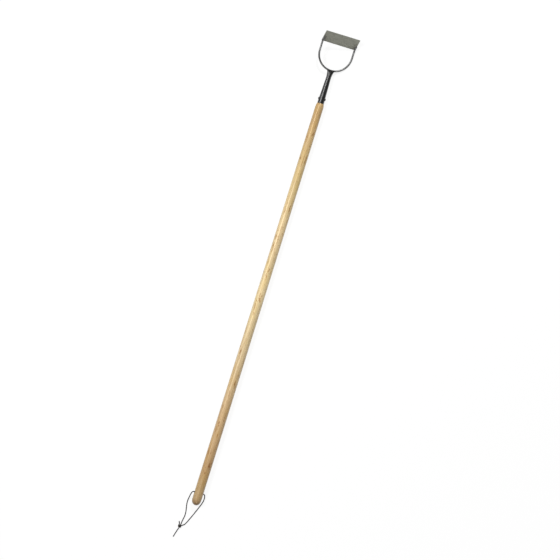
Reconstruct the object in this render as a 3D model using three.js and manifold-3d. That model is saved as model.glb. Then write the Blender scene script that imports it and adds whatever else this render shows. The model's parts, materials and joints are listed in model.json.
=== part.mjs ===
// Stirrup hoe: an ash handle, a riveted socket, a bow of round rod and a flat blade, with a
// hang cord tied through the butt. Millimetres, +Z up.
//
// The tool is drawn straight first: +Y runs from the butt to the blade, +X is across the blade and
// +Z is the side that faces the user. It is then laid down as it rests on a floor: on its handle,
// rolled over until an arm of the bow touches.

import * as THREE from 'three';
import { mergeVertices } from 'three/addons/utils/BufferGeometryUtils.js';
import Module from 'manifold-3d';

const wasm = await Module();
wasm.setup();

const { degToRad } = THREE.MathUtils;

// Handle
const handleLength = 1524;
const handleDiameter = 31.75;
const neckDiameter = 28.6;
const straightLength = 500;
const domeLength = 19;
const shoulderLength = 15;
const tangLength = 75;
const handleSides = 16;

// Hang hole, across the handle near the butt
const hangHoleY = 44;
const hangHoleDiameter = 6.5;
const countersinkDiameter = 10;
const countersinkDepth = 2.5;

// Socket: a rolled steel cone whose far end is pressed flat and welded to the bow
const socketLength = 118;
const socketMouthDiameter = 23;
const socketNeckDiameter = 17;
const socketNeckY = 93;
const socketWall = 1.8;
const socketLipWidth = 26;
const socketLipThickness = 7.8;
const socketLipSetback = 1.2;
const socketFlarePower = 1.7;
const socketBoreDepth = 88;
const socketSides = 28;

// Rivet across the socket
const rivetY = 16;
const rivetShankDiameter = 4.8;
const rivetHeadDiameter = 9.5;
const rivetHeadHeight = 2.8;
const rivetHeadEdge = 0.6;

// Blade
const bladeWidth = 125;
const bladeDepth = 48;
const bladeThickness = 2.8;
const bladeAngle = degToRad(42);
const bladeCornerRadius = 1.5;
const bevelWidth = 7;
const bevelEdge = 0.6;
const rearMargin = 2;

// Bow, lifted a little out of the handle's line and welded a little out of square. Its arms bend
// at their ends, and lie on the blade's upper face
const rodDiameter = 6.5;
const bowLift = degToRad(5.3);
const bowSkew = degToRad(1.3);
const armLength = 90.5;
const armLap = 17;
const armBendRadius = 12;
const rodSides = 16;

// Welds: a bead on each side of the socket's lip, and one round the end of each arm
const crownBeadWidth = 28;
const crownBeadLength = 8.4;
const crownBeadHeight = 5.2;
const crownBeadSetback = 1.2;
const crownBeadOffset = 3.1;
const crownBeadSplit = 1.2;
const armBeadMargin = 2;
const armBeadHeight = 3.2;

// Hang cord
const cordDiameter = 3.5;
const cordSides = 8;
const holeCordLength = 26;
const knotSize = new THREE.Vector3(14, 13, 9);

// Rest position and clearances
const restRoll = degToRad(15);
const gap = 0.3;
const rivetHoleClearance = 0.6;
const toolOvershoot = 4;

// Derived sizes
const handleRadius = handleDiameter / 2;
const neckRadius = neckDiameter / 2;
const mouthY = handleLength - tangLength;
const crownY = mouthY + socketLength;
const rodRadius = rodDiameter / 2;
const bowRadius = bladeWidth / 2 - rodRadius;
const socketMouthRadius = socketMouthDiameter / 2;
const socketTaper = (socketMouthDiameter - socketNeckDiameter) / 2 / socketNeckY;
const footAngle = bladeAngle - bowLift;
const bendTangent = armBendRadius * Math.tan(footAngle / 2);
const cordRadius = cordDiameter / 2;

// ---- geometry helpers ----

function toSolid(geometry) {
  const bare = geometry.clone();
  bare.deleteAttribute('normal');
  bare.deleteAttribute('uv');
  const merged = mergeVertices(bare, 1e-4);
  return new wasm.Manifold(new wasm.Mesh({
    numProp: 3,
    vertProperties: new Float32Array(merged.attributes.position.array),
    triVerts: new Uint32Array(merged.index.array),
  }));
}

function toGeometry(solid) {
  const { vertProperties, triVerts } = solid.getMesh();
  const geometry = new THREE.BufferGeometry();
  geometry.setAttribute('position', new THREE.BufferAttribute(vertProperties, 3));
  geometry.setIndex(new THREE.BufferAttribute(triVerts, 1));
  const faceted = geometry.toNonIndexed();
  faceted.computeVertexNormals();
  return faceted;
}

function cut(geometry, ...tools) {
  let solid = toSolid(geometry);
  for (const tool of tools) {
    solid = solid.subtract(toSolid(tool));
  }
  return toGeometry(solid);
}

function turned(profile, sides, startAngle = 0) {
  const points = profile.map(([radius, y]) => new THREE.Vector2(radius, y));
  return new THREE.LatheGeometry(points, sides, startAngle);
}

// A solid of revolution whose axis is the X axis, centred on (0, y, 0)
function turnedAcross(profile, sides, y) {
  return turned(profile, sides).rotateZ(-Math.PI / 2).translate(0, y, 0);
}

function roundSection(radius, sides) {
  const shape = new THREE.Shape();
  for (let i = 0; i < sides; i += 1) {
    const angle = 2 * Math.PI * (i + 0.5) / sides;
    const method = i === 0 ? 'moveTo' : 'lineTo';
    shape[method](radius * Math.cos(angle), radius * Math.sin(angle));
  }
  shape.closePath();
  return shape;
}

function tube(curve, radius, sides, steps) {
  return new THREE.ExtrudeGeometry(roundSection(radius, sides), {
    steps,
    bevelEnabled: false,
    extrudePath: curve,
  });
}

// Skins a list of closed rings of equal length, and caps both ends
function skinned(rings) {
  const count = rings[0].length;
  const positions = rings.flat().flatMap((p) => [p.x, p.y, p.z]);
  const index = [];
  for (let r = 0; r < rings.length - 1; r += 1) {
    for (let i = 0; i < count; i += 1) {
      const a = r * count + i;
      const b = r * count + (i + 1) % count;
      index.push(a, b, a + count, b, b + count, a + count);
    }
  }
  const last = (rings.length - 1) * count;
  for (let i = 1; i < count - 1; i += 1) {
    index.push(0, i + 1, i);
    index.push(last, last + i, last + i + 1);
  }
  const geometry = new THREE.BufferGeometry();
  geometry.setAttribute('position', new THREE.Float32BufferAttribute(positions, 3));
  geometry.setIndex(index);
  return geometry;
}

// ---- handle ----

// The radius of a faceted ring's corners, whose flats are at the real radius
function toCorners(radius) {
  return radius / Math.cos(Math.PI / handleSides);
}

function handleProfile() {
  const profile = [];
  const domeSteps = 8;
  for (let i = 0; i <= domeSteps; i += 1) {
    const angle = (Math.PI / 2) * (i / domeSteps);
    profile.push([toCorners(handleRadius) * Math.sin(angle), domeLength * (1 - Math.cos(angle))]);
  }
  profile.push([toCorners(handleRadius), straightLength]);
  const shoulderSteps = 5;
  for (let i = 0; i <= shoulderSteps; i += 1) {
    const along = i / shoulderSteps;
    const radius = neckRadius - (neckRadius - socketMouthRadius) * along ** 2;
    profile.push([toCorners(radius), mouthY - shoulderLength + (shoulderLength - gap) * along]);
  }
  profile.push([boreRadius(0) - gap, mouthY - gap]);
  profile.push([boreRadius(tangLength) - gap, handleLength]);
  profile.push([0, handleLength]);
  return profile;
}

function handleGeometry() {
  // One flat of the faceted handle faces the floor in the rest position
  const startAngle = Math.PI - restRoll + Math.PI / handleSides;
  const body = turned(handleProfile(), handleSides, startAngle);
  const holeRadius = hangHoleDiameter / 2;
  const sinkRadius = countersinkDiameter / 2;
  const past = handleRadius + toolOvershoot;
  const sinkFloor = handleRadius - countersinkDepth;
  const slope = (sinkRadius - holeRadius) / countersinkDepth;
  const pastRadius = holeRadius + slope * (past - sinkFloor);
  const hole = turnedAcross([
    [0, -past], [pastRadius, -past], [holeRadius, -sinkFloor],
    [holeRadius, sinkFloor], [pastRadius, past], [0, past],
  ], 16, hangHoleY);
  return cut(body, hole, rivetHole());
}

// ---- socket ----

function boreRadius(depth) {
  return socketMouthRadius - socketWall - socketTaper * depth;
}

function rivetHole() {
  const radius = (rivetShankDiameter + rivetHoleClearance) / 2;
  const half = handleRadius;
  return turnedAcross([[0, -half], [radius, -half], [radius, half], [0, half]], 16, mouthY + rivetY);
}

// Half width and half thickness of the socket's outside at a distance from its mouth
function socketHalfSizes(depth) {
  const round = socketMouthRadius - socketTaper * Math.min(depth, socketNeckY);
  const pressed = Math.max(0, (depth - socketNeckY) / (socketLength - socketNeckY));
  const flare = pressed ** socketFlarePower;
  const squeeze = pressed * pressed * (3 - 2 * pressed);
  return [
    THREE.MathUtils.lerp(round, socketLipWidth / 2, flare),
    THREE.MathUtils.lerp(round, socketLipThickness / 2, squeeze),
  ];
}

function socketRing(depth, allowance) {
  const [halfWidth, halfThickness] = socketHalfSizes(depth);
  const ring = [];
  for (let i = 0; i < socketSides; i += 1) {
    const angle = -2 * Math.PI * (i + 0.5) / socketSides;
    ring.push(new THREE.Vector3(
      (halfWidth + allowance) * Math.cos(angle),
      mouthY + depth,
      (halfThickness + allowance) * Math.sin(angle),
    ));
  }
  return ring;
}

function socketOutside(allowance = 0) {
  const pressedSteps = 7;
  const rings = [socketRing(0, allowance)];
  for (let i = 0; i <= pressedSteps; i += 1) {
    const depth = THREE.MathUtils.lerp(socketNeckY, socketLength - socketLipSetback, i / pressedSteps);
    rings.push(socketRing(depth, allowance));
  }
  return skinned(rings);
}

function socketGeometry() {
  const startAngle = Math.PI / socketSides;
  const bore = turned([
    [0, mouthY - 1], [boreRadius(-1), mouthY - 1],
    [boreRadius(socketBoreDepth), mouthY + socketBoreDepth],
    [0, mouthY + socketBoreDepth + toolOvershoot],
  ], socketSides, startAngle);
  return cut(socketOutside(), bore, rivetHole(), rodGeometry(gap));
}

function rivetGeometry() {
  const seat = socketMouthRadius - socketTaper * rivetY + gap;
  const headRadius = rivetHeadDiameter / 2;
  const shankRadius = rivetShankDiameter / 2;
  const half = [];
  const domeSteps = 5;
  for (let i = 0; i <= domeSteps; i += 1) {
    const angle = (Math.PI / 2) * (i / domeSteps);
    const rise = (rivetHeadHeight - rivetHeadEdge) * Math.cos(angle);
    half.push([headRadius * Math.sin(angle), seat + rivetHeadEdge + rise]);
  }
  half.push([headRadius, seat], [shankRadius, seat]);
  const mirrored = half.map(([radius, x]) => [radius, -x]);
  return turnedAcross([...mirrored, ...half.reverse()], 20, mouthY + rivetY);
}

// ---- bow ----

// The rod's centreline round the crown, drawn from the left arm's end. t goes with its length
class BowCurve extends THREE.Curve {
  getPoint(t, target = new THREE.Vector3()) {
    const arc = Math.PI * bowRadius;
    const lap = armLap - bendTangent;
    const bend = armBendRadius * footAngle;
    const straight = armLength - bendTangent - bowRadius;
    const half = lap + bend + straight + arc / 2;
    const fromCrown = Math.abs(2 * t - 1) * half;
    const side = t < 0.5 ? -1 : 1;
    if (fromCrown <= arc / 2) {
      const angle = fromCrown / bowRadius;
      return target.set(side * bowRadius * Math.sin(angle), bowRadius * (1 - Math.cos(angle)), 0);
    }
    const pastArc = fromCrown - arc / 2;
    if (pastArc <= straight) {
      return target.set(side * bowRadius, bowRadius + pastArc, 0);
    }
    const turn = Math.min((pastArc - straight) / armBendRadius, footAngle);
    const pastBend = Math.max(0, pastArc - straight - bend);
    return target.set(
      side * bowRadius,
      armLength - bendTangent + armBendRadius * Math.sin(turn) + pastBend * Math.cos(footAngle),
      armBendRadius * (1 - Math.cos(turn)) + pastBend * Math.sin(footAngle),
    );
  }
}

// Turns a piece drawn round the bow's crown to the bow's skew and lift, and puts it at the crown
function onCrown(geometry) {
  return geometry.rotateX(bowLift).rotateZ(bowSkew).translate(0, crownY, 0);
}

function rodGeometry(allowance = 0) {
  return onCrown(tube(new BowCurve(), rodRadius + allowance, rodSides, 84));
}

// ---- blade ----

// Moves a piece from the blade's own axes (Y from rear to front edge, upper face on Z = 0) to its
// place under the ends of the arms
function onBlade(geometry) {
  geometry.translate(0, -rearMargin, -rodRadius - gap);
  return onCrown(geometry.rotateX(footAngle).translate(0, armLength, 0));
}

// Everything under the blade's upper face, plus an allowance over it
function belowBladeFace(allowance) {
  const side = 2 * bladeWidth;
  return onBlade(new THREE.BoxGeometry(side, side, side).translate(0, 0, allowance - side / 2));
}

function bladeGeometry() {
  const w = bladeWidth / 2;
  const r = bladeCornerRadius;
  const outline = new THREE.Shape();
  outline.moveTo(-w, 0);
  outline.lineTo(w, 0);
  outline.lineTo(w, bladeDepth - r);
  outline.absarc(w - r, bladeDepth - r, r, 0, Math.PI / 2);
  outline.lineTo(-w + r, bladeDepth);
  outline.absarc(-w + r, bladeDepth - r, r, Math.PI / 2, Math.PI);
  outline.closePath();
  const plate = new THREE.ExtrudeGeometry(outline, {
    depth: bladeThickness,
    bevelEnabled: false,
    curveSegments: 4,
  }).translate(0, 0, -bladeThickness);
  const bevelTool = new THREE.Shape([
    new THREE.Vector2(bladeDepth - bevelWidth, -bladeThickness),
    new THREE.Vector2(bladeDepth + bevelWidth, -bladeThickness),
    new THREE.Vector2(bladeDepth + bevelWidth, 2 * (bladeThickness - bevelEdge) - bladeThickness),
  ]);
  const wedge = new THREE.ExtrudeGeometry(bevelTool, { depth: 2 * bladeWidth, bevelEnabled: false });
  wedge.rotateZ(Math.PI / 2).rotateY(Math.PI / 2).translate(-bladeWidth, 0, 0);
  return onBlade(cut(plate, wedge));
}

// ---- welds ----

// A bead round the end of one arm, on the blade's upper face
function bladeWeldGeometry(side) {
  const bead = new THREE.SphereGeometry(1, 20, 10);
  bead.scale(rodRadius + armBeadMargin, armLap / 2 + armBeadMargin, armBeadHeight);
  bead.translate(side * bowRadius, rearMargin + (armLap + armBeadMargin) / 2, 0);
  return cut(onBlade(bead), belowBladeFace(gap), rodGeometry(gap), besideBlade(side));
}

// Everything past one end of the blade
function besideBlade(side) {
  const block = new THREE.BoxGeometry(bladeWidth, bladeWidth, bladeWidth);
  return onBlade(block.translate(side * bladeWidth, 0, 0));
}

// A bead in the groove between the socket's lip and the bow's crown
function crownWeldGeometry(side) {
  const bead = new THREE.SphereGeometry(1, 24, 12);
  bead.scale(crownBeadWidth / 2, crownBeadLength / 2, crownBeadHeight / 2);
  bead.translate(0, -crownBeadSetback, side * crownBeadOffset);
  const farSide = new THREE.BoxGeometry(bladeWidth, bladeWidth, bladeWidth);
  farSide.translate(0, 0, side * (crownBeadSplit - bladeWidth / 2));
  return cut(onCrown(bead), socketOutside(gap), rodGeometry(gap), onCrown(farSide));
}

// ---- hang cord ----
// Routes in the rest position: X and Y from the centre of the hang hole, Z above the floor

const leftRoute = [
  [-12.85, 0, 20.1], [-16.8, 0, 21.1], [-20.4, -0.9, 21.4], [-23.2, -4, 20.4], [-24.9, -9, 17.2],
  [-26.3, -16, 12.6], [-27.8, -25, 7.4], [-29, -35, 3.7], [-28.7, -47, 2.1], [-26.4, -61, 1.9],
  [-23.8, -75, 1.9], [-23, -89, 1.9], [-24.8, -102, 2], [-26.3, -112, 2.9], [-27, -122.8, 4.3],
];

const rightRoute = [
  [12.85, 0, 13.2], [16.6, 0, 12.1], [19.8, -1.3, 10.9], [22, -4.6, 9.7], [23.4, -9.8, 7.9],
  [23.8, -17, 5.3], [22.9, -25, 3.1], [20.6, -34, 2.1], [16.6, -45.5, 1.9], [11.8, -58, 1.9],
  [6.7, -71, 1.9], [1.5, -84, 1.9], [-4.1, -97, 1.9], [-10.2, -111, 1.9], [-15.2, -119.4, 2.4],
  [-21.8, -124.8, 3.8],
];

const longTailRoute = [
  [-30, -135.9, 3.8], [-32.4, -143, 2.2], [-35, -152, 1.9], [-37.8, -162, 1.9], [-40, -171, 1.9],
];

const shortTailRoute = [
  [-30.9, -123.8, 4], [-33.6, -119.2, 2.8], [-36, -113.8, 2],
];

const knotCentre = [-27, -129.6, 4.65];

function cordGeometry(route, steps) {
  const points = route.map(([x, y, z]) => new THREE.Vector3(x, y, z));
  return tube(new THREE.CatmullRomCurve3(points, false, 'centripetal'), cordRadius, cordSides, steps);
}

function holeCordGeometry() {
  const half = holeCordLength / 2;
  const profile = [[0, -half], [cordRadius, -half], [cordRadius, half], [0, half]];
  return turnedAcross(profile, cordSides, hangHoleY);
}

function knotGeometry() {
  return new THREE.SphereGeometry(0.5, 16, 10)
    .scale(knotSize.x, knotSize.y, knotSize.z)
    .translate(...knotCentre);
}

// ---- assembly ----

function piece(name, geometry, color, roughness, metalness) {
  const material = new THREE.MeshStandardMaterial({ color, roughness, metalness });
  const mesh = new THREE.Mesh(geometry, material);
  mesh.name = name;
  return mesh;
}

const ash = (name, geometry) => piece(name, geometry, 0xd8bd8c, 0.55, 0);
const blackPaint = (name, geometry) => piece(name, geometry, 0x1b1b1a, 0.25, 0.1);
const steel = (name, geometry) => piece(name, geometry, 0x85867c, 0.4, 0.9);
const cordFibre = (name, geometry) => piece(name, geometry, 0x2b2724, 0.9, 0);

const tool = new THREE.Group();
tool.rotation.y = restRoll;
tool.add(
  ash('handle', handleGeometry()),
  blackPaint('socket', socketGeometry()),
  blackPaint('socket_rivet', rivetGeometry()),
  steel('bow', rodGeometry()),
  steel('blade', bladeGeometry()),
  blackPaint('crown_weld_top', crownWeldGeometry(1)),
  blackPaint('crown_weld_bottom', crownWeldGeometry(-1)),
  steel('blade_weld_left', bladeWeldGeometry(-1)),
  steel('blade_weld_right', bladeWeldGeometry(1)),
);

// The handle's tapered stretch lies flat on the floor
const layAngle = Math.atan((handleRadius - neckRadius) / (mouthY - shoulderLength - straightLength));
const lying = new THREE.Group();
lying.rotation.x = -layAngle;
lying.add(tool);

const hoe = new THREE.Group();
hoe.add(lying);
hoe.updateMatrixWorld(true);
const bounds = new THREE.Box3().setFromObject(hoe, true);
const centre = bounds.getCenter(new THREE.Vector3());
lying.position.set(-centre.x, -centre.y, -bounds.min.z);
hoe.updateMatrixWorld(true);

const holeCord = cordFibre('cord_in_hole', holeCordGeometry());
tool.add(holeCord);

const hangHole = tool.localToWorld(new THREE.Vector3(0, hangHoleY, 0));
const looseCord = new THREE.Group();
looseCord.position.set(hangHole.x, hangHole.y, 0);
looseCord.add(
  cordFibre('cord_left_leg', cordGeometry(leftRoute, 18)),
  cordFibre('cord_right_leg', cordGeometry(rightRoute, 18)),
  cordFibre('cord_knot', knotGeometry()),
  cordFibre('cord_long_tail', cordGeometry(longTailRoute, 5)),
  cordFibre('cord_short_tail', cordGeometry(shortTailRoute, 3)),
);
hoe.add(looseCord);

export default hoe;
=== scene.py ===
"""Looks of the stirrup hoe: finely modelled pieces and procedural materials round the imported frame.

Metres, in the frame's own axes. Every piece but the cord is drawn in the tool's own axes first:
X across the blade, Y from the butt to the blade, Z on the side that faces the user. The blade and
its welds are drawn in the blade's axes: the same, but turned and moved with it.
"""
import json
import math

import bmesh
import bpy
from mathutils import Matrix, Vector


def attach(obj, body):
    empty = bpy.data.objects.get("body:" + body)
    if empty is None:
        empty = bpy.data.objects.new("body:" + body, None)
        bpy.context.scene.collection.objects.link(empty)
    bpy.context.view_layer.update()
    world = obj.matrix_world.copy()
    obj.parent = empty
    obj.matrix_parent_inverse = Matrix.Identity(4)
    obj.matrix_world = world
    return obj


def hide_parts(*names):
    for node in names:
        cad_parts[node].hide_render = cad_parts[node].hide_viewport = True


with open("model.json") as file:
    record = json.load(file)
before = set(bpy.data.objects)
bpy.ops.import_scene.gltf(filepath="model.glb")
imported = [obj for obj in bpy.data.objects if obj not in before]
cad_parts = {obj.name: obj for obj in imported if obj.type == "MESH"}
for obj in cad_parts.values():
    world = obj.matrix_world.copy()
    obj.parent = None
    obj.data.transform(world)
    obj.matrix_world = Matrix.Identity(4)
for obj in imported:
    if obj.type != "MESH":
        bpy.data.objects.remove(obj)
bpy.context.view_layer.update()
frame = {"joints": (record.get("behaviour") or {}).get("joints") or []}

# ---- driving dimensions ----

HANDLE_LENGTH = 1.524
HANDLE_RADIUS = 0.015875
NECK_RADIUS = 0.0143
STRAIGHT_LENGTH = 0.5
DOME_LENGTH = 0.019
SHOULDER_LENGTH = 0.015
TANG_LENGTH = 0.075

HANG_HOLE_Y = 0.044
HANG_HOLE_RADIUS = 0.00325
COUNTERSINK_RADIUS = 0.005
COUNTERSINK_DEPTH = 0.0025
COUNTERSINK_FLARE_POWER = 1.6
COUNTERSINK_CUTTER_REACH = 1.6 * COUNTERSINK_DEPTH

SOCKET_LENGTH = 0.118
SOCKET_MOUTH_RADIUS = 0.0115
SOCKET_NECK_RADIUS = 0.0085
SOCKET_NECK_Y = 0.093
SOCKET_WALL = 0.0018
SOCKET_LIP_WIDTH = 0.026
SOCKET_LIP_THICKNESS = 0.0078
SOCKET_LIP_SETBACK = 0.0012
SOCKET_FLARE_POWER = 1.7
SOCKET_LIP_ROUNDING = 0.0012
SOCKET_BORE_DEPTH = 0.088
SOCKET_BORE_TIP = 0.004
SEAM_WIDTH = 0.0011
SEAM_DEPTH = 0.0006
SEAM_FADE = 0.012

RIVET_Y = 0.016
RIVET_SHANK_RADIUS = 0.0024
RIVET_HEAD_RADIUS = 0.00475
RIVET_HEAD_HEIGHT = 0.0028
RIVET_HEAD_EDGE = 0.0006
RIVET_HEAD_CHAMFER = 0.0003
RIVET_HEAD_SINK = 0.0002
RIVET_DOME_POWER = 0.8

BLADE_WIDTH = 0.125
BLADE_DEPTH = 0.048
BLADE_THICKNESS = 0.0028
BLADE_ANGLE = math.radians(42)
BLADE_CORNER_RADIUS = 0.0015
BEVEL_WIDTH = 0.007
BEVEL_EDGE = 0.0006
BLADE_EDGE_ROUNDING = 0.00022
REAR_MARGIN = 0.002

ROD_RADIUS = 0.00325
BOW_LIFT = math.radians(5.3)
BOW_SKEW = math.radians(1.3)
ARM_LENGTH = 0.0905
ARM_LAP = 0.017
ARM_BEND_RADIUS = 0.012
ROD_END_CHAMFER = 0.0007

CORD_DIAMETER = 0.0035
GAP = 0.0003

MOUTH_Y = HANDLE_LENGTH - TANG_LENGTH
CROWN_Y = MOUTH_Y + SOCKET_LENGTH
SOCKET_TAPER = (SOCKET_MOUTH_RADIUS - SOCKET_NECK_RADIUS) / SOCKET_NECK_Y
BOW_RADIUS = BLADE_WIDTH / 2 - ROD_RADIUS
FOOT_ANGLE = BLADE_ANGLE - BOW_LIFT
BEND_TANGENT = ARM_BEND_RADIUS * math.tan(FOOT_ANGLE / 2)

# ---- the tool's place, from the cord's hinge, which is the axis of the hang hole ----

swing = frame["joints"][0]
hang_hole = Vector(swing["pos_m"])
across = -Vector(swing["axis"]).normalized()
along = Vector((1, 0, 0)).cross(across).normalized()
facing = across.cross(along)
butt = hang_hole - HANG_HOLE_Y * along
TOOL = Matrix.Translation(butt) @ Matrix((across, along, facing)).transposed().to_4x4()

# The bow's crown, lifted and skewed, and the blade's upper face at its rear edge
CROWN = (
    Matrix.Translation((0, CROWN_Y, 0))
    @ Matrix.Rotation(BOW_SKEW, 4, "Z")
    @ Matrix.Rotation(BOW_LIFT, 4, "X")
)
BLADE = (
    CROWN
    @ Matrix.Translation((0, ARM_LENGTH, 0))
    @ Matrix.Rotation(FOOT_ANGLE, 4, "X")
    @ Matrix.Translation((0, -REAR_MARGIN, -ROD_RADIUS - GAP))
)

# ---- camera: straight down, from far away, with the tool leaning to the right ----

CAMERA_HEIGHT = 12.0
SENSOR_WIDTH = 36.0
LEAN = math.radians(17.34)

# The view's width at the floor, and its middle, counted from the butt
VIEW_WIDTH = 1.9306
VIEW_ALONG = 0.8269
VIEW_ASIDE = 0.0481


def add_camera():
    data = bpy.data.cameras.new("camera")
    data.sensor_width = SENSOR_WIDTH
    data.lens = SENSOR_WIDTH * CAMERA_HEIGHT / VIEW_WIDTH
    data.clip_end = 200
    camera = bpy.data.objects.new("camera", data)
    bpy.context.scene.collection.objects.link(camera)
    camera.location = (butt.x + VIEW_ASIDE, butt.y + VIEW_ALONG, CAMERA_HEIGHT)
    camera.rotation_euler = (0, 0, LEAN)
    bpy.context.scene.camera = camera


# ---- mesh helpers ----

CREASE = math.radians(34)
SOFTENED_ANGLE = math.radians(20)
MERGE_DISTANCE = 0.00001


def smooth_piece(name, mesh, matrix=TOOL, crease=CREASE):
    """An object from a mesh that is drawn in the axes of that matrix."""
    mesh.validate()
    mesh.transform(matrix)
    mesh.shade_smooth()
    mesh.set_sharp_from_angle(angle=crease)
    piece = bpy.data.objects.new(name, mesh)
    bpy.context.scene.collection.objects.link(piece)
    return piece


def loft(name, rings):
    """Skins rings of equal length. A ring of one point is a pole; other end rings are capped."""
    points = []
    starts = []
    for ring in rings:
        starts.append(len(points))
        points.extend(tuple(p) for p in ring)
    faces = []
    for low, high in zip(range(len(rings)), range(1, len(rings))):
        count = max(len(rings[low]), len(rings[high]))
        for i in range(count):
            j = (i + 1) % count
            if len(rings[low]) == 1:
                faces.append((starts[low], starts[high] + j, starts[high] + i))
            elif len(rings[high]) == 1:
                faces.append((starts[low] + i, starts[low] + j, starts[high]))
            else:
                faces.append((starts[low] + i, starts[low] + j, starts[high] + j, starts[high] + i))
    if len(rings[0]) > 1:
        faces.append(tuple(reversed(range(len(rings[0])))))
    if len(rings[-1]) > 1:
        faces.append(tuple(starts[-1] + i for i in range(len(rings[-1]))))
    mesh = bpy.data.meshes.new(name)
    mesh.from_pydata(points, [], faces)
    return mesh


def circle(radius, y, sides):
    """A ring round the Y axis. One point if the radius is 0."""
    if radius == 0:
        return [Vector((0, y, 0))]
    turns = [2 * math.pi * i / sides for i in range(sides)]
    return [Vector((radius * math.sin(a), y, radius * math.cos(a))) for a in turns]


def spaced(start, end, steps):
    """Evenly spaced values from the start to the end, both included."""
    return [start + (end - start) * i / steps for i in range(steps + 1)]


def turned(name, profile, sides):
    """A solid of revolution round the Y axis, from its radii and places along the axis."""
    return loft(name, [circle(radius, y, sides) for radius, y in profile])


def merge_close(mesh):
    """Joins the stray points that a cut leaves, so that the mesh stays closed."""
    shape = bmesh.new()
    shape.from_mesh(mesh)
    bmesh.ops.remove_doubles(shape, verts=shape.verts, dist=MERGE_DISTANCE)
    bmesh.ops.dissolve_degenerate(shape, edges=shape.edges, dist=MERGE_DISTANCE)
    shape.to_mesh(mesh)
    shape.free()


def cut(piece, *cutters):
    """Takes each cutter mesh, drawn in the tool's axes, out of the piece."""
    for mesh in cutters:
        mesh.transform(TOOL)
        cutter = bpy.data.objects.new("cutter", mesh)
        bpy.context.scene.collection.objects.link(cutter)
        modifier = piece.modifiers.new("cut", "BOOLEAN")
        modifier.operation = "DIFFERENCE"
        modifier.solver = "EXACT"
        modifier.object = cutter
        bpy.context.view_layer.update()
        graph = bpy.context.evaluated_depsgraph_get()
        result = bpy.data.meshes.new_from_object(piece.evaluated_get(graph))
        piece.modifiers.clear()
        piece.data = result
        bpy.data.objects.remove(cutter)
    merge_close(piece.data)
    piece.data.shade_smooth()
    piece.data.set_sharp_from_angle(angle=CREASE)


def soften(piece, width):
    """Rounds the sharp edges of the piece."""
    modifier = piece.modifiers.new("soft edges", "BEVEL")
    modifier.width = width
    modifier.segments = 2
    modifier.limit_method = "ANGLE"
    modifier.angle_limit = SOFTENED_ANGLE
    modifier.harden_normals = True


def finish(piece, body, slot, material, *nodes):
    """Gives a piece its material and its body, and hides the frame's nodes that it stands for. The
    slot is not used.
    """
    piece.data.materials.clear()
    piece.data.materials.append(material)
    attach(piece, body)
    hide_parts(*nodes)


# ---- material helpers ----

def srgb(red, green, blue):
    """A linear colour from display values of 0 to 255."""
    def linear(value):
        value /= 255
        return value / 12.92 if value <= 0.04045 else ((value + 0.055) / 1.055) ** 2.4
    return (linear(red), linear(green), linear(blue), 1)


def grey(value):
    return (value, value, value, 1)


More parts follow.
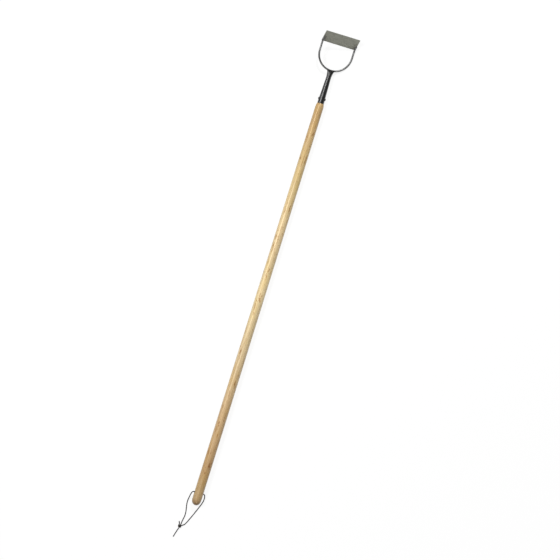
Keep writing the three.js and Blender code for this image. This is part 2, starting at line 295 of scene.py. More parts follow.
class Look:
    """A material, with a short call for each kind of node that it needs."""

    def __init__(self, name, **settings):
        """The settings are values of the shader's own sockets, with _ for a space."""
        self.material = bpy.data.materials.new(name)
        self.material.use_nodes = True
        self.tree = self.material.node_tree
        self.shader = self.tree.nodes["Principled BSDF"]
        for socket, value in settings.items():
            self.shader.inputs[socket.replace("_", " ")].default_value = value

    def plug(self, socket, value):
        """Links a node's output to a socket, or sets the socket's value."""
        if isinstance(value, bpy.types.NodeSocket):
            self.tree.links.new(value, socket)
        else:
            socket.default_value = value

    def node(self, kind, **settings):
        node = self.tree.nodes.new("ShaderNode" + kind)
        for key, value in settings.items():
            setattr(node, key, value)
        return node

    def flow(self):
        """The place in metres along and round a rod."""
        return self.node("TexCoord").outputs["UV"]

    def place(self, matrix=TOOL):
        """The place in the axes of that matrix."""
        node = self.node("Mapping", vector_type="TEXTURE")
        self.plug(node.inputs["Vector"], self.node("TexCoord").outputs["Object"])
        self.plug(node.inputs["Location"], matrix.translation)
        self.plug(node.inputs["Rotation"], matrix.to_euler())
        return node.outputs[0]

    def part(self, vector, axis):
        """The X, Y or Z of a vector, by its number."""
        node = self.node("SeparateXYZ")
        self.plug(node.inputs[0], vector)
        return node.outputs[axis]

    def vector(self, operation, first, second, output=0):
        node = self.node("VectorMath", operation=operation)
        self.plug(node.inputs[0], first)
        self.plug(node.inputs[1], second)
        return node.outputs[output]

    def scaled(self, vector, size):
        """The place counted in cells of that size, in metres."""
        return self.vector("DIVIDE", vector, size)

    def math(self, operation, first, second=0.0):
        node = self.node("Math", operation=operation)
        self.plug(node.inputs[0], first)
        self.plug(node.inputs[1], second)
        return node.outputs[0]

    def range(self, value, low, high, to_low=0.0, to_high=1.0):
        """A smooth step from to_low at low to to_high at high."""
        node = self.node("MapRange", interpolation_type="SMOOTHSTEP")
        for socket, item in zip(node.inputs, (value, low, high, to_low, to_high)):
            self.plug(socket, item)
        return node.outputs[0]

    def noise(self, vector, detail=2.0, roughness=0.5, distortion=0.0):
        node = self.node("TexNoise")
        self.plug(node.inputs["Vector"], vector)
        self.plug(node.inputs["Scale"], 1.0)
        self.plug(node.inputs["Detail"], detail)
        self.plug(node.inputs["Roughness"], roughness)
        self.plug(node.inputs["Distortion"], distortion)
        return node.outputs["Fac"]

    def noise_vector(self, vector, detail):
        """Noise on each axis by itself, about 0."""
        node = self.node("TexNoise")
        self.plug(node.inputs["Vector"], vector)
        self.plug(node.inputs["Scale"], 1.0)
        self.plug(node.inputs["Detail"], detail)
        return self.vector("SUBTRACT", node.outputs["Color"], (0.5, 0.5, 0.5))

    def ramp(self, factor, stops):
        node = self.node("ValToRGB")
        elements = node.color_ramp.elements
        elements.remove(elements[1])
        elements[0].position = stops[0][0]
        elements[0].color = stops[0][1]
        for position, colour in stops[1:]:
            elements.new(position).color = colour
        self.plug(node.inputs[0], factor)
        return node.outputs[0]

    def tinted(self, colour, tint):
        return self.mix(1.0, colour, tint, "MULTIPLY")

    def mix(self, factor, first, second, blend="MIX"):
        node = self.node("Mix", data_type="RGBA", blend_type=blend)
        self.plug(node.inputs[0], factor)
        self.plug(node.inputs[6], first)
        self.plug(node.inputs[7], second)
        return node.outputs[2]

    def bump(self, height, distance, strength):
        node = self.node("Bump")
        self.plug(node.inputs["Strength"], strength)
        self.plug(node.inputs["Distance"], distance)
        self.plug(node.inputs["Height"], height)
        return node.outputs[0]

    def finish(self, colour=None, roughness=None, normal=None):
        if colour is not None:
            self.plug(self.shader.inputs["Base Color"], colour)
        if roughness is not None:
            self.plug(self.shader.inputs["Roughness"], roughness)
        if normal is not None:
            self.plug(self.shader.inputs["Normal"], normal)
        return self.material


# ---- hang cord: one lace through the hole, its right strand knotted round its left one ----
# Routes: X and Y from the centre of the hang hole, Z above the floor

HOLE_Z = hang_hole.z

LEFT_ROUTE = [
    (0, 0, HOLE_Z), (-0.0064, 0, 0.01824), (-0.01285, 0, 0.0201), (-0.0168, 0, 0.0211),
    (-0.0204, -0.0009, 0.0214), (-0.0232, -0.004, 0.0204), (-0.0249, -0.009, 0.0172),
    (-0.0263, -0.016, 0.0126), (-0.0278, -0.025, 0.0074), (-0.029, -0.035, 0.0037),
    (-0.0287, -0.047, 0.0021), (-0.0264, -0.061, 0.0019), (-0.0238, -0.075, 0.0019),
    (-0.023, -0.089, 0.0019), (-0.0248, -0.102, 0.002), (-0.0263, -0.112, 0.0029),
    (-0.027, -0.1228, 0.0043), (-0.0283, -0.1294, 0.0047), (-0.03, -0.1359, 0.0038),
    (-0.0324, -0.143, 0.0022), (-0.035, -0.152, 0.0019), (-0.0378, -0.162, 0.0019),
    (-0.04, -0.171, 0.0019),
]

RIGHT_ROUTE = [
    (0, 0, HOLE_Z), (0.0064, 0, 0.0148), (0.01285, 0, 0.0132), (0.0166, 0, 0.0121),
    (0.0198, -0.0013, 0.0109), (0.022, -0.0046, 0.0097), (0.0234, -0.0098, 0.0079),
    (0.0238, -0.017, 0.0053), (0.0229, -0.025, 0.0031), (0.0206, -0.034, 0.0021),
    (0.0166, -0.0455, 0.0019), (0.0118, -0.058, 0.0019), (0.0067, -0.071, 0.0019),
    (0.0015, -0.084, 0.0019), (-0.0041, -0.097, 0.0019), (-0.0102, -0.111, 0.0019),
    (-0.0152, -0.1194, 0.0024), (-0.0218, -0.1248, 0.0038),
]

SHORT_TAIL_ROUTE = [(-0.0336, -0.1192, 0.0028), (-0.036, -0.1138, 0.002)]

# The left strand's points before and after the knot
KNOT_ENTRY = Vector(LEFT_ROUTE[16])
KNOT_EXIT = Vector(LEFT_ROUTE[18])

KNOT_CENTRE = Vector((-0.0284, -0.1294, 0.00475))
KNOT_TURNS = 2.4
KNOT_HALF_LENGTH = 0.0036
KNOT_TURN_WIDTH = 0.0033
KNOT_TURN_HEIGHT = 0.00285
KNOT_STEPS = 26

# From the knot's centre: through it, aside and up
KNOT_TAIL = [(0.0012, -0.0052, -0.0014), (-0.0028, -0.0054, -0.0019), (-0.0068, -0.0056, -0.002)]

# The lace's thickness varies by this share, in waves that many radians from point to point
LACE_UNEVENNESS = 0.03
LACE_WAVE = 2.4


def knot_route():
    """The right strand's turns round the left one, and back along them to the short tail."""
    through = KNOT_EXIT - KNOT_ENTRY
    through.z = 0
    through.normalize()
    aside = Vector((-through.y, through.x, 0))
    up = Vector((0, 0, 1))
    route = [Vector(RIGHT_ROUTE[-1])]
    for i in range(KNOT_STEPS + 1):
        share = i / KNOT_STEPS
        turn = 2 * math.pi * KNOT_TURNS * share
        route.append(
            KNOT_CENTRE
            + through * KNOT_HALF_LENGTH * (2 * share - 1)
            + aside * KNOT_TURN_WIDTH * math.cos(turn)
            + up * KNOT_TURN_HEIGHT * math.sin(turn)
        )
    route += [KNOT_CENTRE + through * a + aside * b + up * c for a, b, c in KNOT_TAIL]
    return route + [Vector(p) for p in SHORT_TAIL_ROUTE]


def lace(name, route):
    """A smooth round lace through the route's points."""
    curve = bpy.data.curves.new(name, "CURVE")
    curve.dimensions = "3D"
    curve.bevel_depth = CORD_DIAMETER / 2
    curve.bevel_resolution = 6
    curve.resolution_u = 8
    curve.use_fill_caps = True
    spline = curve.splines.new("BEZIER")
    spline.bezier_points.add(len(route) - 1)
    for i, (point, place) in enumerate(zip(spline.bezier_points, route)):
        point.co = (hang_hole.x + place[0], hang_hole.y + place[1], place[2])
        point.handle_left_type = "AUTO"
        point.handle_right_type = "AUTO"
        point.radius = 1 + LACE_UNEVENNESS * math.sin(LACE_WAVE * i)
    piece = bpy.data.objects.new(name, curve)
    bpy.context.scene.collection.objects.link(piece)
    return piece


def leather():
    look = Look("cord_leather", Roughness=0.62, Specular_IOR_Level=0.22)
    place = look.place()
    grain = look.noise(look.scaled(place, (0.0006,) * 3), 4, 0.6)
    wear = look.noise(look.scaled(place, (0.009,) * 3), 3, 0.6)
    worn = look.range(wear, 0.5, 0.7)
    colour = look.mix(worn, srgb(26, 22, 20), srgb(44, 38, 33))
    # Painted shade: the bump's low spots, the creases, get a darker colour
    crease_shade = look.range(grain, 0.42, 0.5)
    colour = look.mix(crease_shade, look.mix(0.45, colour, srgb(14, 12, 11)), colour)
    roughness = look.range(wear, 0.3, 0.7, 0.7, 0.5)
    return look.finish(colour, roughness, look.bump(grain, 0.0003, 0.7))


def add_cord():
    material = leather()
    left = lace("hang_cord_left", LEFT_ROUTE)
    right = lace("hang_cord_right", RIGHT_ROUTE)
    knot = lace("hang_cord_knot", knot_route())
    nodes_of = [
        (left, ("cord_in_hole", "cord_left_leg", "cord_long_tail")),
        (right, ("cord_right_leg",)),
        (knot, ("cord_knot", "cord_short_tail")),
    ]
    for piece, nodes in nodes_of:
        finish(piece, "hang_cord", "cord_leather", material, *nodes)


# ---- handle ----

def socket_bore(depth):
    """The bore's radius at a distance from the socket's mouth."""
    return SOCKET_MOUTH_RADIUS - SOCKET_WALL - SOCKET_TAPER * depth


def handle_profile():
    """Radius and distance from the butt: dome, straight, taper, shoulder and hidden tang."""
    profile = []
    for angle in spaced(0, math.pi / 2, 18):
        profile.append((HANDLE_RADIUS * math.sin(angle), DOME_LENGTH * (1 - math.cos(angle))))
    for y in spaced(DOME_LENGTH, STRAIGHT_LENGTH, 24)[1:]:
        profile.append((HANDLE_RADIUS, y))
    shoulder_y = MOUTH_Y - SHOULDER_LENGTH
    for y in spaced(STRAIGHT_LENGTH, shoulder_y, 40)[1:]:
        share = (y - STRAIGHT_LENGTH) / (shoulder_y - STRAIGHT_LENGTH)
        profile.append((HANDLE_RADIUS + (NECK_RADIUS - HANDLE_RADIUS) * share, y))
    for share in spaced(0, 1, 12)[1:]:
        radius = NECK_RADIUS - (NECK_RADIUS - SOCKET_MOUTH_RADIUS) * share ** 2
        profile.append((radius, shoulder_y + (SHOULDER_LENGTH - GAP) * share))
    profile.append((socket_bore(0) - GAP, MOUTH_Y - GAP))
    profile.append((socket_bore(TANG_LENGTH) - GAP, HANDLE_LENGTH))
    profile.append((0, HANDLE_LENGTH))
    return profile


def turned_across(name, profile, y):
    """A solid of revolution whose axis runs across the tool, at that distance from the butt."""
    mesh = turned(name, profile, 48)
    mesh.transform(Matrix.Translation((0, y, 0)) @ Matrix.Rotation(-math.pi / 2, 4, "Z"))
    return mesh


def hang_hole_cutter():
    """The hole with a flared countersink at each end, which goes on past the surface."""
    floor = HANDLE_RADIUS - COUNTERSINK_DEPTH
    half = []
    for rise in spaced(0, COUNTERSINK_CUTTER_REACH, 12):
        flare = (rise / COUNTERSINK_DEPTH) ** COUNTERSINK_FLARE_POWER
        radius = HANG_HOLE_RADIUS + (COUNTERSINK_RADIUS - HANG_HOLE_RADIUS) * flare
        half.append((radius, floor + rise))
    half.append((0, half[-1][1]))
    mirrored = [(radius, -x) for radius, x in reversed(half)]
    return turned_across("hang_hole", mirrored + half, HANG_HOLE_Y)


def rivet_hole_cutter():
    """The rivet's hole through the tang and the socket."""
    radius = RIVET_SHANK_RADIUS + GAP
    reach = HANDLE_RADIUS
    profile = [(0, -reach), (radius, -reach), (radius, reach), (0, reach)]
    return turned_across("rivet_hole", profile, MOUTH_Y + RIVET_Y)


# Colour of the wood along the handle: brownest at the butt, palest in the middle. Its darkest stops,
# at the butt's dome tip, and the darker stops just before the socket are painted shade.
ASH_TONE_AND_SHADE_ALONG = [
    (0.0, srgb(92, 66, 40)),
    (0.006, srgb(148, 120, 84)),
    (0.02, srgb(176, 150, 110)),
    (0.048, srgb(174, 146, 101)),
    (0.095, srgb(170, 139, 99)),
    (0.238, srgb(195, 166, 124)),
    (0.381, srgb(207, 186, 146)),
    (0.523, srgb(214, 195, 152)),
    (0.67, srgb(208, 186, 144)),
    (0.809, srgb(205, 183, 134)),
    (0.951, srgb(188, 158, 111)),
    (1.0, srgb(181, 152, 104)),
]

# The tree's rings, round a pith that lies beside the handle and not quite along it
RING_SPACING = 0.0026
PITH = (0.046, 0, -0.058)
GRAIN_SLOPE = 0.0035


def ash():
    """Straight-grained ash: rings round a far pith, with a porous dark band in each ring."""
    look = Look(
        "ash_wood", Roughness=0.5, IOR=1.48, Specular_IOR_Level=0.9,
        Specular_Tint=(1.0, 0.86, 0.66, 1),
    )
    place = look.place()
    y = look.part(place, 1)
    wander = look.noise_vector(look.scaled(place, (0.05, 0.42, 0.05)), 1.0)
    fine_wander = look.noise_vector(look.scaled(place, (0.006, 0.09, 0.006)), 2.0)
    bent = look.vector("ADD", place, look.vector("MULTIPLY", wander, (0.012, 0, 0.012)))
    bent = look.vector("ADD", bent, look.vector("MULTIPLY", fine_wander, (0.0011, 0, 0.0011)))
    flat = look.vector("MULTIPLY", look.vector("SUBTRACT", bent, PITH), (1, 0, 1))
    radius = look.vector("LENGTH", flat, (0, 0, 0), "Value")
    radius = look.math("ADD", radius, look.math("MULTIPLY", y, GRAIN_SLOPE))
    rings = look.math("DIVIDE", radius, RING_SPACING)
    unevenness = look.noise(look.scaled(flat, (0.009,) * 3), 1.0)
    rings = look.math("ADD", rings, look.math("MULTIPLY", unevenness, 1.5))
    ring = look.math("FRACT", rings)
    early = look.ramp(ring, [
        (0.0, grey(0.9)), (0.1, grey(1)), (0.3, grey(0.25)),
        (0.8, grey(0)), (0.96, grey(0.1)), (1.0, grey(0.9)),
    ])
    pores = look.noise(look.scaled(place, (0.00045, 0.007, 0.00045)), 2.0, 0.6)
    pores = look.math("MULTIPLY", look.range(pores, 0.55, 0.66), early)
    fibres = look.noise(look.scaled(place, (0.0009, 0.06, 0.0009)), 3.0, 0.6)
    flecks = look.noise(look.scaled(place, (0.007, 0.034, 0.007)), 3.0, 0.7, 0.4)
    patches = look.noise(look.scaled(place, (0.016, 0.07, 0.016)), 2.0, 0.6)
    blotches = look.noise(look.scaled(place, (0.03, 0.16, 0.03)), 2.0, 0.5)

    # The wood's tone along the handle, with painted shade at the butt's dome tip and just before the
    # socket
    base = look.ramp(look.math("DIVIDE", y, MOUTH_Y), ASH_TONE_AND_SHADE_ALONG)
    shade = look.range(fibres, 0.25, 0.75, 0.93, 1.07)
    shade = look.math("MULTIPLY", shade, look.range(blotches, 0.3, 0.7, 0.93, 1.06))
    colour = look.tinted(base, shade)
    layers = [
        (look.math("MULTIPLY", early, 0.34), srgb(196, 162, 118)),
        (look.range(flecks, 0.56, 0.68, 0.0, 0.9), srgb(186, 146, 102)),
        (look.range(patches, 0.5, 0.62), srgb(255, 252, 238)),
        (look.math("MULTIPLY", pores, 0.55), srgb(140, 100, 62)),
    ]
    for strength, tint in layers:
        colour = look.mix(strength, colour, look.tinted(colour, tint))

    roughness = look.range(early, 0.0, 1.0, 0.4, 0.54)
    height = look.math("SUBTRACT", look.math("MULTIPLY", fibres, 0.25), pores)
    return look.finish(colour, roughness, look.bump(height, 0.00012, 0.8))


def add_handle():
    handle = smooth_piece("ash_handle", turned("ash_handle", handle_profile(), 96))
    cut(handle, hang_hole_cutter(), rivet_hole_cutter())
    finish(handle, "hoe", "ash_wood", ash(), "handle")


# ---- socket ----

SOCKET_SIDES = 112

# The rings are closer together from this far before the end of the round cone
SOCKET_CONE_MARGIN = 0.004


def socket_half_sizes(depth):
    """Half width and half thickness of the outside at a distance from the mouth."""
    rounded = SOCKET_MOUTH_RADIUS - SOCKET_TAPER * min(depth, SOCKET_NECK_Y)
    pressed = max(0, (depth - SOCKET_NECK_Y) / (SOCKET_LENGTH - SOCKET_NECK_Y))
    flare = pressed ** SOCKET_FLARE_POWER
    squeeze = pressed * pressed * (3 - 2 * pressed)
    return (
        rounded + (SOCKET_LIP_WIDTH / 2 - rounded) * flare,
        rounded + (SOCKET_LIP_THICKNESS / 2 - rounded) * squeeze,
    )


def socket_ring(depth, inset=0.0):
    """A ring of the outside, with the rolled seam's groove on the underside."""
    half_width, half_thickness = socket_half_sizes(depth)
    open_seam = max(0, min(1, (SOCKET_NECK_Y - depth) / SEAM_FADE))
    ring = []
    for i in range(SOCKET_SIDES):
        angle = 2 * math.pi * i / SOCKET_SIDES
        x = (half_width - inset) * math.sin(angle)
        z = (half_thickness - inset) * math.cos(angle)
        groove = math.exp(-(x / (SEAM_WIDTH / 2)) ** 2) if z < 0 else 0
        ring.append(Vector((x, MOUTH_Y + depth, z + SEAM_DEPTH * groove * open_seam)))
    return ring


def socket_mesh():
    """Out of the bore, round the mouth's rim, along the cone and the pressed end, to the lip."""
    rim = SOCKET_WALL / 2
    rings = [circle(0, MOUTH_Y + SOCKET_BORE_DEPTH + SOCKET_BORE_TIP, SOCKET_SIDES)]
    for depth in spaced(SOCKET_BORE_DEPTH, rim, 10):
        rings.append(circle(socket_bore(depth), MOUTH_Y + depth, SOCKET_SIDES))
    for angle in spaced(0, math.pi, 12)[1:]:
        rings.append(socket_ring(rim - rim * math.sin(angle), rim + rim * math.cos(angle)))
    cone_end = SOCKET_NECK_Y - SOCKET_CONE_MARGIN
    for depth in spaced(rim, cone_end, 26)[1:]:
        rings.append(socket_ring(depth))
    lip = SOCKET_LENGTH - SOCKET_LIP_SETBACK - SOCKET_LIP_ROUNDING
    for depth in spaced(cone_end, lip, 22)[1:]:
        rings.append(socket_ring(depth))
    for angle in spaced(0, math.pi / 2, 5)[1:]:
        inset = SOCKET_LIP_ROUNDING * (1 - math.cos(angle))
        rings.append(socket_ring(lip + SOCKET_LIP_ROUNDING * math.sin(angle), inset))
    return loft("socket_shell", rings)


def rod_cutter():
    """The seat that the bow's rod takes out of the socket's lip."""
    return rod_mesh("rod_cutter", ROD_RADIUS + GAP / 2, square_ends=True)


def black_paint():
    look = Look("socket_paint", Roughness=0.38, IOR=1.5, Specular_IOR_Level=0.75)
    place = look.place()
    peel = look.noise(look.scaled(place, (0.0011,) * 3), 2.0)
    dust = look.noise(look.scaled(place, (0.004, 0.012, 0.004)), 4.0, 0.65)
    dusty = look.range(dust, 0.52, 0.75)
    colour = look.mix(dusty, srgb(12, 12, 11), srgb(20, 20, 18))
    roughness = look.range(dust, 0.35, 0.75, 0.35, 0.42)
    return look.finish(colour, roughness, look.bump(peel, 0.00001, 0.3))


def add_socket(material):
    socket = smooth_piece("socket_shell", socket_mesh())
    cut(socket, rivet_hole_cutter(), rod_cutter())
    finish(socket, "hoe", "socket_paint", material, "socket")


def add_rivet(material):
    seat = SOCKET_MOUTH_RADIUS - SOCKET_TAPER * RIVET_Y - RIVET_HEAD_SINK
    half = [
        (RIVET_SHANK_RADIUS, seat),
        (RIVET_HEAD_RADIUS - RIVET_HEAD_CHAMFER, seat),
        (RIVET_HEAD_RADIUS, seat + RIVET_HEAD_CHAMFER),
    ]
    dome = RIVET_HEAD_HEIGHT - RIVET_HEAD_EDGE
    for angle in spaced(0, math.pi / 2, 10)[:-1]:
        radius = RIVET_HEAD_RADIUS * math.cos(angle) ** RIVET_DOME_POWER
        half.append((radius, seat + RIVET_HEAD_EDGE + dome * math.sin(angle)))
    half.append((0, seat + RIVET_HEAD_HEIGHT))
    mirrored = [(radius, -x) for radius, x in reversed(half)]
    mesh = turned_across("rivet", mirrored + half, MOUTH_Y + RIVET_Y)
    finish(smooth_piece("rivet", mesh), "hoe", "socket_paint", material, "socket_rivet")


# ---- bow ----

ROD_SIDES = 40


def half_bow():
    """Centre, tangent and up side of the rod from the crown to the right arm's end."""
    stations = []
    for angle in spaced(0, math.pi / 2, 44):
        place = Vector((BOW_RADIUS * math.sin(angle), BOW_RADIUS * (1 - math.cos(angle)), 0))
        stations.append((place, Vector((math.cos(angle), math.sin(angle), 0)), Vector((0, 0, 1))))
    straight_end = ARM_LENGTH - BEND_TANGENT
    for y in spaced(BOW_RADIUS, straight_end, 8)[1:]:
        stations.append((Vector((BOW_RADIUS, y, 0)), Vector((0, 1, 0)), Vector((0, 0, 1))))
    for turn in spaced(0, FOOT_ANGLE, 12)[1:]:
        forward = Vector((0, math.cos(turn), math.sin(turn)))
        up = Vector((0, -math.sin(turn), math.cos(turn)))
        rise = ARM_BEND_RADIUS * (1 - math.cos(turn))
        place = Vector((BOW_RADIUS, straight_end + ARM_BEND_RADIUS * math.sin(turn), rise))
        stations.append((place, forward, up))
    bend_end, forward, up = stations[-1]
    for run in spaced(0, ARM_LAP - BEND_TANGENT, 6)[1:]:
        stations.append((bend_end + forward * run, forward, up))
    return stations


def whole_bow():
    """The rod's stations from the left arm's end to the right arm's end."""
    right = half_bow()
    left = []
    for place, forward, up in reversed(right[1:]):
        left.append((
            Vector((-place.x, place.y, place.z)),
            Vector((forward.x, -forward.y, -forward.z)),
            up,
        ))
    return left + right


def rounded_end(station, inward):
    """Sections of a rod's end, from its full size to the end face. Inward is 1 or -1 times forward."""
    place, forward, up = station
    sections = []
    for angle in spaced(0, math.pi / 2, 4):
        back = inward * ROD_END_CHAMFER * (1 - math.sin(angle))
        sections.append((place + forward * back, forward, up, ROD_END_CHAMFER * (1 - math.cos(angle))))
    return sections


def rod_mesh(name, radius, square_ends=False):
    stations = whole_bow()
    sections = [(place, forward, up, 0.0) for place, forward, up in stations]
    if not square_ends:
        start = rounded_end(stations[0], 1)
        end = rounded_end(stations[-1], -1)
        sections = start[::-1] + sections[1:-1] + end
    rings = []
    for place, forward, up, inset in sections:
        side = forward.cross(up)
        ring = []
        for i in range(ROD_SIDES):
            angle = 2 * math.pi * i / ROD_SIDES
            outward = side * math.sin(angle) + up * math.cos(angle)
            ring.append(CROWN @ (place + outward * (radius - inset)))
        rings.append(ring)
    mesh = loft(name, rings)
    add_flow(mesh, [section[0] for section in sections], radius)
    return mesh


def add_flow(mesh, centres, radius):
    """A UV map in metres: U along the rod, V round it."""
    travelled = [0.0]
    for a, b in zip(centres, centres[1:]):
        travelled.append(travelled[-1] + (b - a).length)
    flow = mesh.uv_layers.new(name="flow")
    step = 2 * math.pi * radius / ROD_SIDES
    for polygon in mesh.polygons:
        columns = {mesh.loops[i].vertex_index % ROD_SIDES for i in polygon.loop_indices}
        wraps = 0 in columns and ROD_SIDES - 1 in columns
        for i in polygon.loop_indices:
            ring, column = divmod(mesh.loops[i].vertex_index, ROD_SIDES)
            turn = ROD_SIDES if wraps and column == 0 else column
            flow.data[i].uv = (travelled[ring], turn * step)


def rod_steel():
    """Drawn rod: fine lines along it, and darker stains."""
    look = Look("rod_steel", Roughness=0.35, Metallic=0.85)
    flow = look.flow()
    place = look.place()
    drawn = look.noise(look.scaled(flow, (0.2, 0.0006, 1)), 3.0, 0.6)
    stain = look.noise(look.scaled(place, (0.012,) * 3), 4.0, 0.62)
    colour = look.mix(look.range(drawn, 0.3, 0.7), srgb(112, 112, 112), srgb(124, 124, 123))
    colour = look.mix(look.range(stain, 0.55, 0.75, 0.0, 0.3), colour, srgb(94, 93, 90))
    roughness = look.range(stain, 0.3, 0.75, 0.38, 0.43)
    return look.finish(colour, roughness, look.bump(drawn, 0.00002, 0.4))


def add_bow():
    bow = smooth_piece("bow_rod", rod_mesh("bow_rod", ROD_RADIUS))
    finish(bow, "hoe", "rod_steel", rod_steel(), "bow")


# ---- blade ----

BLADE_CREASE = math.radians(12)


def blade_outline():
    """Round the plate, seen from above, from its left rear corner: X and Y."""
    half = BLADE_WIDTH / 2
    r = BLADE_CORNER_RADIUS
    outline = [(-half, 0), (half, 0), (half, BLADE_DEPTH - BEVEL_WIDTH)]
    for turn in spaced(0, math.pi / 2, 6):
        outline.append((half - r + r * math.cos(turn), BLADE_DEPTH - r + r * math.sin(turn)))
    mirrored = [(-x, y) for x, y in outline[2:]]
    return outline + mirrored[::-1]


def blade_mesh():
    """The plate, with its upper face at Z = 0 and the bevel ground under its front edge."""
    outline = blade_outline()
    count = len(outline)
    slope = (BLADE_THICKNESS - BEVEL_EDGE) / BEVEL_WIDTH
    points = [(x, y, 0.0) for x, y in outline]
    for x, y in outline:
        ground = max(0.0, y - (BLADE_DEPTH - BEVEL_WIDTH)) * slope
        points.append((x, y, ground - BLADE_THICKNESS))
    faces = [tuple(range(count))]
    faces.append((count, 2 * count - 1, count + 2, count + 1))
    faces.append(tuple(count + i for i in reversed(range(2, count))))
    for i in range(count):
        j = (i + 1) % count
        faces.append((i, count + i, count + j, j))
    mesh = bpy.data.meshes.new("blade_plate")
    mesh.from_pydata(points, [], faces)
    return mesh


def blade_steel():
    """Rolled plate: fine scratches from rear to front, a brighter bevel, heat marks at the welds."""
    look = Look("blade_steel", Roughness=0.42, Metallic=0.9)
    place = look.place(TOOL @ BLADE)
    x = look.part(place, 0)
    y = look.part(place, 1)
    z = look.part(place, 2)
    brushed = look.noise(look.scaled(place, (0.00025, 0.03, 0.00025)), 3.0, 0.65)
    rolled = look.noise(look.scaled(place, (0.06, 0.006, 0.006)), 3.0, 0.6)
    stain = look.noise(look.scaled(place, (0.016,) * 3), 4.0, 0.6)
    colour = look.mix(look.range(brushed, 0.3, 0.7), srgb(158, 159, 147), srgb(182, 183, 171))
    colour = look.mix(look.range(rolled, 0.4, 0.8, 0.0, 0.35), colour, srgb(120, 119, 108))
    colour = look.mix(look.range(stain, 0.56, 0.76, 0.0, 0.4), colour, srgb(104, 96, 82))
    bevel_start = BLADE_DEPTH - BEVEL_WIDTH
    in_bevel = look.range(y, bevel_start - 0.0002, bevel_start + 0.0002)
    under = look.range(z, -0.0004, -0.0002, 1.0, 0.0)
    colour = look.mix(look.math("MULTIPLY", in_bevel, under), colour, srgb(186, 187, 180))
    from_arm = look.math("SUBTRACT", look.math("ABSOLUTE", x), BOW_RADIUS)
    past_lap = look.math("MAXIMUM", look.math("SUBTRACT", y, ARM_LAP), 0.0)
    squares = look.math("ADD", look.math("POWER", from_arm, 2.0), look.math("POWER", past_lap, 2.0))
    distance = look.math("SQRT", squares)
    wobble = look.math("MULTIPLY", look.math("SUBTRACT", stain, 0.5), 0.008)
    heat = look.math("ADD", distance, wobble)
    tint = look.ramp(look.math("DIVIDE", heat, 0.02), [
        (0.0, srgb(84, 83, 84)), (0.3, srgb(92, 91, 95)), (0.42, srgb(112, 105, 96)),
        (0.55, srgb(146, 138, 120)), (0.75, srgb(160, 158, 142)),
    ])
    colour = look.mix(look.range(heat, 0.005, 0.013, 0.35, 0.0), colour, tint)
    rear = look.range(y, 0.0, 0.006, 0.45, 0.0)
    colour = look.mix(rear, colour, srgb(92, 90, 80))
    roughness = look.range(stain, 0.3, 0.75, 0.36, 0.52)
    return look.finish(colour, roughness, look.bump(brushed, 0.00005, 0.6))


def add_blade():
    blade = smooth_piece("blade_plate", blade_mesh(), TOOL @ BLADE, BLADE_CREASE)
    soften(blade, BLADE_EDGE_ROUNDING)
    finish(blade, "hoe", "blade_steel", blade_steel(), "blade")


# ---- welds ----

CROWN_BEAD_HALF_WIDTH = 0.0142
CROWN_BEAD_HALF_LENGTH = 0.0042
CROWN_BEAD_HALF_HEIGHT = 0.0026
CROWN_BEAD_SETBACK = 0.0012
CROWN_BEAD_OFFSET = 0.0031
CROWN_BEAD_SIDES = 28
CROWN_BEAD_WAVE = 900
CROWN_BEAD_UNEVENNESS = 0.05
ARM_BEAD_RADIUS = 0.0021
ARM_BEAD_HEIGHT = 0.95 * ARM_BEAD_RADIUS
ARM_BEAD_LIFT = 0.0003
ARM_BEAD_SPREAD = 0.0004
ARM_BEAD_START = 0.0012
ARM_BEAD_TURN = math.radians(100)
ARM_BEAD_TURN_LENGTH = 0.9
ARM_BEAD_TURN_SETBACK = 0.002
ARM_BEAD_SIDES = 20
ARM_BEAD_TAPER_STEPS = 3
ARM_BEAD_LEAST_SQUARE = 0.02
RIPPLE_LENGTH = 0.0017
RIPPLE_HEIGHT = 0.00022
RIPPLE_SWEEP = 0.9
RIPPLE_POWER = 0.7


def ripple(distance, aside):
    """Height of a weld's ripples, which curve back to the sides of the bead."""
    phase = 2 * math.pi * (distance - RIPPLE_SWEEP * abs(aside)) / RIPPLE_LENGTH
    return RIPPLE_HEIGHT * (0.5 + 0.5 * math.sin(phase)) ** RIPPLE_POWER


def crown_bead_mesh(name, side):
    """A bead across the socket's lip, bent with the bow. Side is 1 on top and -1 underneath."""
    rings = []
    for share in spaced(-1, 1, 90):
        x = share * CROWN_BEAD_HALF_WIDTH
        full = math.sqrt(max(0.0, 1 - share ** 4))
        unevenness = 1 + CROWN_BEAD_UNEVENNESS * math.sin(CROWN_BEAD_WAVE * x + side)
        half_length = CROWN_BEAD_HALF_LENGTH * full * unevenness
        bend = BOW_RADIUS - math.sqrt(BOW_RADIUS ** 2 - x ** 2)
        ring = []
        for i in range(CROWN_BEAD_SIDES):
            angle = 2 * math.pi * i / CROWN_BEAD_SIDES
            y = half_length * math.cos(angle)
            height = CROWN_BEAD_HALF_HEIGHT * full * math.sin(angle)
            lift = ripple(x, y) * full * max(0, math.sin(angle) * side)
            place = (x, y + bend - CROWN_BEAD_SETBACK, height + side * (CROWN_BEAD_OFFSET + lift))
            ring.append(CROWN @ Vector(place))
        rings.append(ring)
    rings[0] = [sum(rings[0], Vector()) / len(rings[0])]
    rings[-1] = [sum(rings[-1], Vector()) / len(rings[-1])]
    return loft(name, rings)


def arm_bead_path(side):
    """Along the arm's inner side and round its end, on the blade's upper face."""
    radius = ROD_RADIUS + ARM_BEAD_SPREAD
    turn_start = REAR_MARGIN + ARM_LAP - ARM_BEAD_TURN_SETBACK
    path = [Vector((BOW_RADIUS - radius, y, 0)) for y in spaced(ARM_BEAD_START, turn_start, 26)]
    for turn in spaced(0, ARM_BEAD_TURN, 16)[1:]:
        x = BOW_RADIUS - radius * math.cos(turn)
        path.append(Vector((x, turn_start + radius * math.sin(turn) * ARM_BEAD_TURN_LENGTH, 0)))
    return [Vector((side * p.x, p.y, p.z)) for p in path]


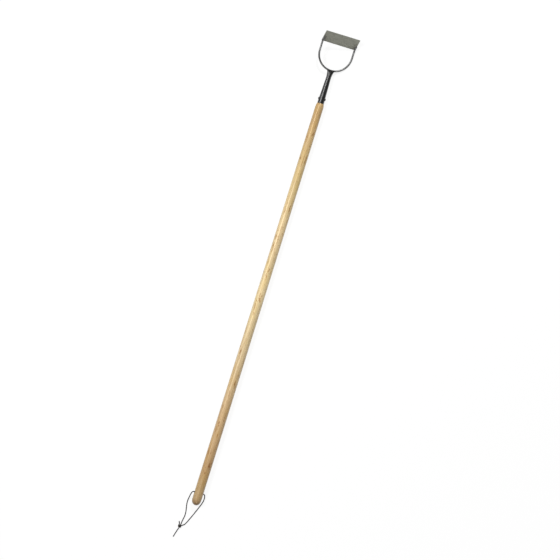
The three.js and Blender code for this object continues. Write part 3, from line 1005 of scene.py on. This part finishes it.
def arm_bead_mesh(name, side):
    """A bead along that path, thinner at its two ends. Side is -1 at the left arm, 1 at the right."""
    path = arm_bead_path(side)
    rings = []
    travelled = 0.0
    for i, place in enumerate(path):
        before = path[max(0, i - 1)]
        after = path[min(len(path) - 1, i + 1)]
        forward = (after - before).normalized()
        aside = Vector((forward.y, -forward.x, 0))
        travelled += (place - before).length
        from_end = min(i, len(path) - 1 - i)
        ends = min(1.0, from_end / ARM_BEAD_TAPER_STEPS)
        full = math.sqrt(max(ARM_BEAD_LEAST_SQUARE, 1 - (1 - ends) ** 2))
        ring = []
        for k in range(ARM_BEAD_SIDES):
            angle = 2 * math.pi * k / ARM_BEAD_SIDES
            width = ARM_BEAD_RADIUS * full * math.cos(angle)
            lift = ripple(travelled, width) * full * max(0, math.sin(angle))
            height = ARM_BEAD_HEIGHT * full * math.sin(angle) + lift + ARM_BEAD_LIFT
            ring.append(place + aside * width * side + Vector((0, 0, height)))
        rings.append(ring)
    if side > 0:
        rings.reverse()
    return loft(name, rings)


def weld_steel():
    """Bare weld metal, mottled with scale."""
    look = Look("weld_steel", Roughness=0.45, Metallic=0.85)
    place = look.place()
    scale = look.noise(look.scaled(place, (0.0014,) * 3), 4.0, 0.6)
    colour = look.mix(look.range(scale, 0.4, 0.65), srgb(120, 119, 112), srgb(152, 151, 141))
    roughness = look.range(scale, 0.35, 0.7, 0.5, 0.65)
    return look.finish(colour, roughness, look.bump(scale, 0.00012, 0.5))


def add_welds(paint):
    for side, node in ((1, "crown_weld_top"), (-1, "crown_weld_bottom")):
        name = node.replace("weld", "bead")
        bead = smooth_piece(name, crown_bead_mesh(name, side))
        finish(bead, "hoe", "socket_paint", paint, node)
    steel = weld_steel()
    for side, node in ((-1, "blade_weld_left"), (1, "blade_weld_right")):
        name = node.replace("weld", "bead")
        bead = smooth_piece(name, arm_bead_mesh(name, side), TOOL @ BLADE)
        finish(bead, "hoe", "weld_steel", steel, node)


# ---- floor and light ----

LIGHT_DISTANCE = 9.0
WORLD_SHARE = 0.1
FLOOR_SIZE = 400.0
FLOOR_DROP = 0.0002


def add_floor():
    """A floor that glows nearly white, so that the shadows on it stay faint."""
    half = FLOOR_SIZE / 2
    corners = [(-half, -half, 0), (half, -half, 0), (half, half, 0), (-half, half, 0)]
    mesh = bpy.data.meshes.new("floor")
    mesh.from_pydata(corners, [], [(0, 1, 2, 3)])
    floor = bpy.data.objects.new("floor", mesh)
    floor.location.z = -FLOOR_DROP
    bpy.context.scene.collection.objects.link(floor)
    look = Look(
        "floor", Roughness=0.9, Specular_IOR_Level=0.1, Base_Color=grey(0.12),
        Emission_Color=grey(1), Emission_Strength=0.86,
    )
    floor.data.materials.append(look.finish())


def add_light(name, direction, size, share):
    """A soft square light. By itself it would give a white floor that share of full brightness."""
    direction = Vector(direction).normalized()
    data = bpy.data.lights.new(name, "AREA")
    data.shape = "SQUARE"
    data.size = size
    data.energy = share * (math.pi * LIGHT_DISTANCE) ** 2 / direction.z
    light = bpy.data.objects.new(name, data)
    bpy.context.scene.collection.objects.link(light)
    light.location = direction * LIGHT_DISTANCE
    light.rotation_euler = (-direction).to_track_quat("-Z", "Y").to_euler()


def add_lights():
    add_light("overhead", (-0.55, 0.14, 0.82), 2.6, 0.54)
    add_light("head_side", (-0.03, 0.71, 0.7), 1.2, 0.46)
    add_light("butt_side", (0.1, -0.7, 0.7), 1.5, 0.16)
    world = bpy.data.worlds.new("world")
    world.use_nodes = True
    background = world.node_tree.nodes["Background"]
    background.inputs["Color"].default_value = grey(1)
    background.inputs["Strength"].default_value = WORLD_SHARE
    bpy.context.scene.world = world
    bpy.context.scene.view_settings.view_transform = "Standard"


# ---- the whole ----

add_camera()
add_cord()
add_handle()
paint = black_paint()
add_socket(paint)
add_rivet(paint)
add_bow()
add_blade()
add_welds(paint)
add_floor()
add_lights()
